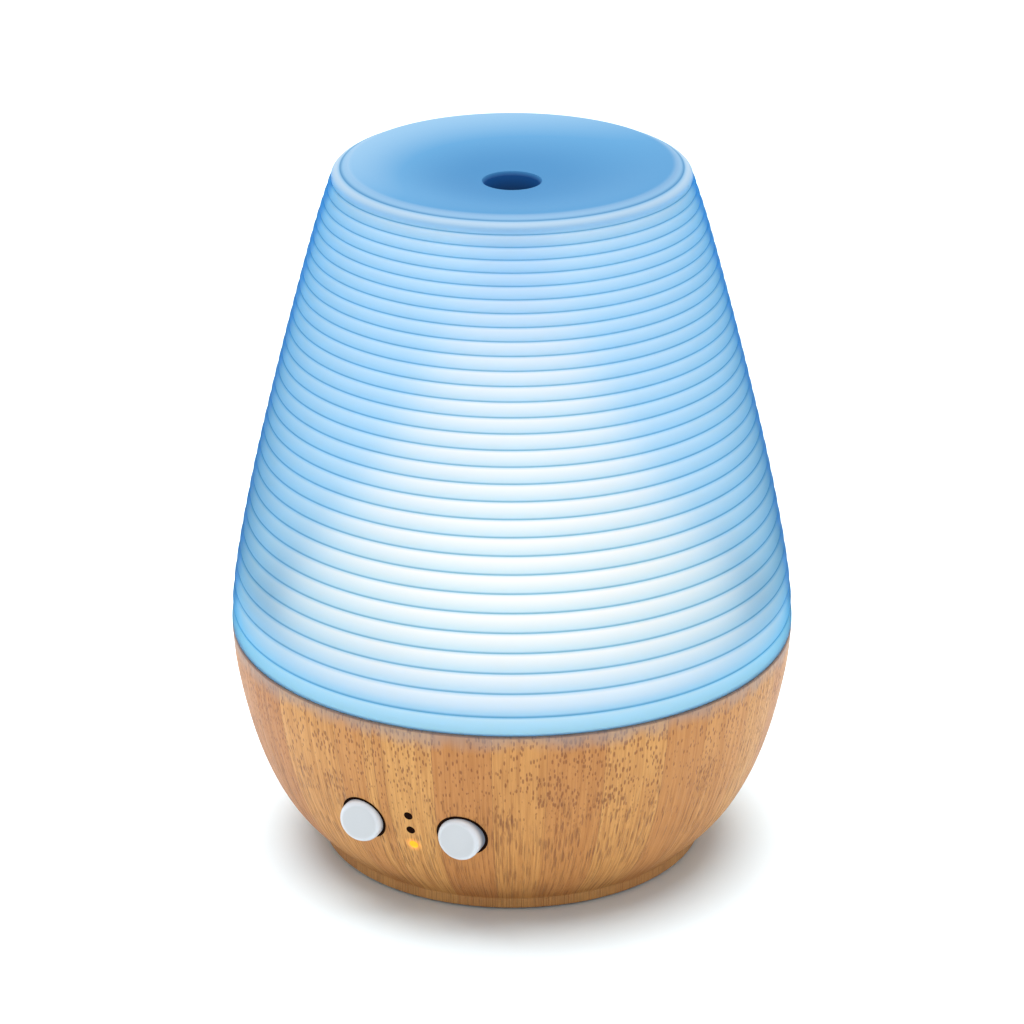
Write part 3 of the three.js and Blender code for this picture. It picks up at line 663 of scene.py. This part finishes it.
# ---------------------------------------------------------------------------
# Camera, light and floor
# ---------------------------------------------------------------------------


def make_camera():
    azimuth, elevation = math.radians(22.3), math.radians(22.88)
    level = math.cos(elevation)
    back = Vector((math.sin(azimuth) * level, -math.cos(azimuth) * level, math.sin(elevation)))
    data = bpy.data.cameras.new("camera")
    data.lens = 145.7
    data.sensor_width = 36
    camera = bpy.data.objects.new("camera", data)
    camera.location = Vector((0, 0, CAMERA_AIM_Z * MM)) + back * CAMERA_DISTANCE
    camera.rotation_mode = "QUATERNION"
    camera.rotation_quaternion = (-back).to_track_quat("-Z", "Y")
    bpy.context.scene.collection.objects.link(camera)
    bpy.context.scene.camera = camera


def soft_sun(name, towards, spread_degrees, strength):
    """A broad even light from one side of the sky."""
    data = bpy.data.lights.new(name, "SUN")
    data.angle = math.radians(spread_degrees)
    data.energy = strength
    light = bpy.data.objects.new(name, data)
    light.rotation_mode = "QUATERNION"
    light.rotation_quaternion = (-Vector(towards)).to_track_quat("-Z", "Y")
    bpy.context.scene.collection.objects.link(light)


def make_studio():
    """A bright sky that lights less than it shows, one soft sun and a pale floor."""
    world = bpy.data.worlds.new("studio")
    bpy.context.scene.world = world
    world.use_nodes = True
    tree = world.node_tree
    background = tree.nodes["Background"]
    background.inputs["Color"].default_value = (0.95, 0.975, 1, 1)
    seen = tree.nodes.new("ShaderNodeLightPath").outputs["Is Camera Ray"]
    strength = tree.nodes.new("ShaderNodeMapRange")
    strength.inputs["To Min"].default_value = 0.68
    strength.inputs["To Max"].default_value = 1.1
    tree.links.new(seen, strength.inputs["Value"])
    tree.links.new(strength.outputs[0], background.inputs["Strength"])
    soft_sun("overhead_light", (-0.10, 0.12, 1.0), 64, 4.5)
    bpy.context.scene.view_settings.view_transform = "Standard"

    corners = [(x * FLOOR_HALF, y * FLOOR_HALF, 0) for x, y in ((-1, -1), (1, -1), (1, 1), (-1, 1))]
    floor = new_object("floor", corners, [(0, 1, 2, 3)])
    n = Nodes("pale_floor")
    cloud = n.noise(n.object_point(), 0.01, 2)
    paint(floor, n.finish(principled(
        n, Base_Color=n.mix(cloud, (0.82, 0.925, 0.975, 1), (0.84, 0.94, 0.99, 1)), Roughness=0.9,
    )))


# ---------------------------------------------------------------------------
# Pieces
# ---------------------------------------------------------------------------


def groove_heights():
    """Heights of the grooves from the top down. The ribs grow steadily taller towards the foot."""
    heights = [RIB_TOP]
    pitch = RIB_PITCH
    while len(heights) < RIB_COUNT:
        heights.append(heights[-1] - pitch)
        pitch *= RIB_GROWTH
    return heights + list(LAST_GROOVES)


def painted_rib_shade(share):
    """Painted light and shade of a rib, from its upper groove, share 0, to its lower one, share 1: a dark
    painted line in each groove, lightest just below the upper groove and darker downwards.
    """
    if share < 0.12:
        return share / 0.12
    if share < 0.88:
        return 1 - (share - 0.12) / 0.76 * 0.68
    return 0.32 * (1 - share) / 0.12


def shade_piece():
    """The double-walled shade. Its outline runs up the ribbed outside, across the dish, down the mist
    hole's collar and back down the inside, and its three rows of values tell the material how much painted
    light and shade a point of a rib gets, and which points are inside or in the mist hole."""
    side = curve_points(SHADE_SIDE, 24)
    top = curve_points(SHADE_TOP, 14)
    skin = side + top[1:]
    rim = [p for p in top if p[0] < RIM_EDGE]
    slope = side + [p for p in top[1:] if p[0] >= RIM_EDGE]

    outline, painted_rib_shades = [], []
    heights = groove_heights()
    spans = list(zip(heights, heights[1:]))
    foot = heights[-1]
    # The band under the lowest groove is painted darker towards its foot, as painted shade.
    for share in (0.0, 0.10, 0.25, 0.5, 0.75, 0.9, 1.0):
        z = SHADE_FOOT + (foot - SHADE_FOOT) * share
        edge = 0.5 * (1 - share) ** 8 + RIB_DEPTH * share**6
        outline.append((radius_at(slope, max(z, SHADE_FOOT)) - edge, z))
        painted_rib_shades.append(0.32 + 0.6 * share if share < 1 else 0.0)
    for upper, lower in reversed(spans):
        for step in range(1, RIB_STEPS + 1):
            share = 0.5 + 0.5 * math.cos(math.pi * step / RIB_STEPS)  # 1 at the lower groove
            z = upper + (lower - upper) * share
            sunk = RIB_DEPTH * abs(2 * share - 1) ** RIB_ROUNDNESS
            outline.append((radius_at(slope, z) - sunk, z))
            painted_rib_shades.append(painted_rib_shade(share))
    outline += rim
    painted_rib_shades += [1.0] * len(rim)
    painted_rib_shades[-len(rim)] = 0.8

    hole_top = outline[-1][1]
    collar = [
        (MIST_HOLE_RADIUS, hole_top - 0.8), (MIST_HOLE_RADIUS, COLLAR_BOTTOM),
        (MIST_HOLE_RADIUS + COLLAR_WALL, COLLAR_BOTTOM),
    ]
    outline[-1] = (MIST_HOLE_RADIUS + 0.5, hole_top)
    outline += collar
    painted_rib_shades += [0.3] * len(collar)
    outer_count = len(outline)
    clear_of_collar = MIST_HOLE_RADIUS + COLLAR_WALL + 0.5
    inner_skin = offset_points(skin, SHADE_WALL)
    inner_skin = [p for p in inner_skin if p[0] > clear_of_collar and p[1] > SHADE_FOOT]
    inner_skin = [(inner_skin[0][0], SHADE_FOOT)] + inner_skin[::2]
    outline += list(reversed(inner_skin))
    painted_rib_shades += [1.0] * len(inner_skin)
    inside = [0.0] * outer_count + [1.0] * len(inner_skin)
    bore = [0.0] * (outer_count - len(collar)) + [1.0] * len(collar) + [0.0] * len(inner_skin)
    shade = turned("ribbed_shade", outline, values={"rib_light_and_shade": painted_rib_shades, "inside": inside, "bore": bore})
    paint(shade, frosted_shade())
    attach(shade, "shade")
    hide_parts("shade")


def mist_cover_piece():
    outside = curve_points(MIST_COVER_SIDE, 8)
    inside = offset_points(outside, MIST_COVER_WALL)
    inside[0] = (inside[0][0], outside[0][1])
    inside[-1] = (inside[-1][0], outside[-1][1])
    cover = turned("smooth_mist_cover", outside + list(reversed(inside)), segments=128)
    paint(cover, lit_cover())
    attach(cover, "mist_cover")
    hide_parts("mist_cover")


def bowl_piece():
    ring = FOOT_RING
    foot = [
        (ring["inner"], ring["bottom"]), (ring["outer"] - ring["chamfer"], ring["bottom"]),
        (ring["outer"], ring["bottom"] + ring["chamfer"]), (ring["outer"], ring["top"]),
    ]
    side = curve_points(BOWL_SIDE, 7)
    inside = [p for p in offset_points(side, BOWL_WALL) if p[1] < REBATE_Z]
    rim = [(BOWL_RIM_RADIUS, SEAM_Z), (REBATE_RADIUS, SEAM_Z), (REBATE_RADIUS, REBATE_Z)]
    ledge = [(inside[-1][0], REBATE_Z)]
    neck = [(ring["inner"], inside[0][1] - 0.5)]
    outline = foot + side + rim + ledge + list(reversed(inside)) + neck
    bowl = turned("bamboo_bowl", outline, segments=160)
    tools = [cutter(BUTTON_HOLE, FRONT_CUT, x, BUTTON_Z) for x in (-BUTTON_X, BUTTON_X)]
    tools += [cutter(INDICATOR_HOLE, FRONT_CUT, 0, z, 24) for z in INDICATOR_Z.values()]
    tools.append(cutter(JACK_HOLE, BACK_CUT, 0, JACK_Z))
    cut(bowl, tools)
    paint(bowl, bamboo())
    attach(bowl, "base")
    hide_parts("bamboo_shell")


def button_piece(side, x, material):
    """A round cap with a rounded front edge and a flange that keeps it behind the wood."""
    low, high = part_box(f"{side}_button_cap")
    face, back = -low.y / MM, -high.y / MM
    flange, seat = BUTTON_FLANGE["radius"], BUTTON_FLANGE["front"]
    centre_r, centre_h = BUTTON_RADIUS - BUTTON_EDGE, face - 0.05 - BUTTON_EDGE
    outline = [(0, face), (BUTTON_RADIUS * 0.5, face - 0.02)]
    for step in range(7):
        turn = math.pi / 2 * step / 6
        outline.append((centre_r + BUTTON_EDGE * math.sin(turn), centre_h + BUTTON_EDGE * math.cos(turn)))
    outline += [(BUTTON_RADIUS, seat + 0.4), (BUTTON_RADIUS + 0.2, seat)]
    outline += [(flange, seat), (flange, back), (0, back)]
    cap = capped_turned(f"{side}_button", outline, (x, 0, BUTTON_Z), segments=64)
    paint(cap, material)
    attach(cap, f"{side}_button")
    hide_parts(f"{side}_button_cap")


def make_pieces():
    shade_piece()
    mist_cover_piece()
    bowl_piece()
    gloss = moulded(
        "button_gloss", srgb(194, 193, 194), roughness=0.36, grain=0.2, depth=0.002, coat=0.1,
        shading=shade_of_hole,
    )
    for side, x in (("left", -BUTTON_X), ("right", BUTTON_X)):
        button_piece(side, x, gloss)


def finish_cad_nodes():
    """Gives every CAD node that stays a material of its slot's kind. The lowest light pipe is lit."""
    finishes = {
        "white_plastic": moulded("white_plastic", (0.50, 0.52, 0.54, 1), 0.45),
        "dark_plastic": moulded("dark_plastic", (0.035, 0.036, 0.04, 1), 0.5, depth=0.03),
        "rubber": moulded("rubber", (0.035, 0.035, 0.037, 1), 0.8, depth=0.03),
        "silicone": moulded("silicone", (0.70, 0.67, 0.62, 1), 0.65),
        "piezo_ceramic": moulded("piezo_ceramic", (0.70, 0.66, 0.56, 1), 0.5),
        "capacitor_sleeve": moulded("capacitor_sleeve", (0.03, 0.045, 0.08, 1), 0.3),
        "button_gloss": moulded("plunger_plastic", (0.7, 0.72, 0.74, 1), 0.35),
        # Clear plastic painted near black, so that the unlit indicator holes look dark: painted shade.
        "clear_plastic": moulded("clear_plastic", (0.012, 0.004, 0.003, 1), 0.6, specular=0.05),
        "led_chip": moulded("led_chip", (0.9, 0.84, 0.6, 1), 0.3),
        "wire_insulation": moulded("wire_insulation", (0.72, 0.72, 0.72, 1), 0.5),
        "frosted_shade": moulded("frosted_plastic", (0.62, 0.84, 0.98, 1), 0.5),
        "steel": metal("steel", (0.62, 0.63, 0.65, 1)),
        "copper": metal("copper", (0.65, 0.30, 0.14, 1), 0.4),
        "circuit_board": board(),
        "amber_led": glowing("amber_led", (0.95, 0.55, 0.12, 1), (1.0, 0.68, 0.14, 1), 1.2),
    }
    lit_pipe = glowing("lit_pipe", (0.95, 0.6, 0.15, 1), (1.0, 0.72, 0.1, 1), 2.6)
    for part in frame["record"]["subparts"]:
        node, slot = frame["nodes"][part["node"]], part["material_slot"]
        if not node.hide_render:
            lit = part["node"] == "light_pipe_low"
            paint(node, lit_pipe if lit else finishes[slot])


make_camera()
make_studio()
make_pieces()
finish_cad_nodes()
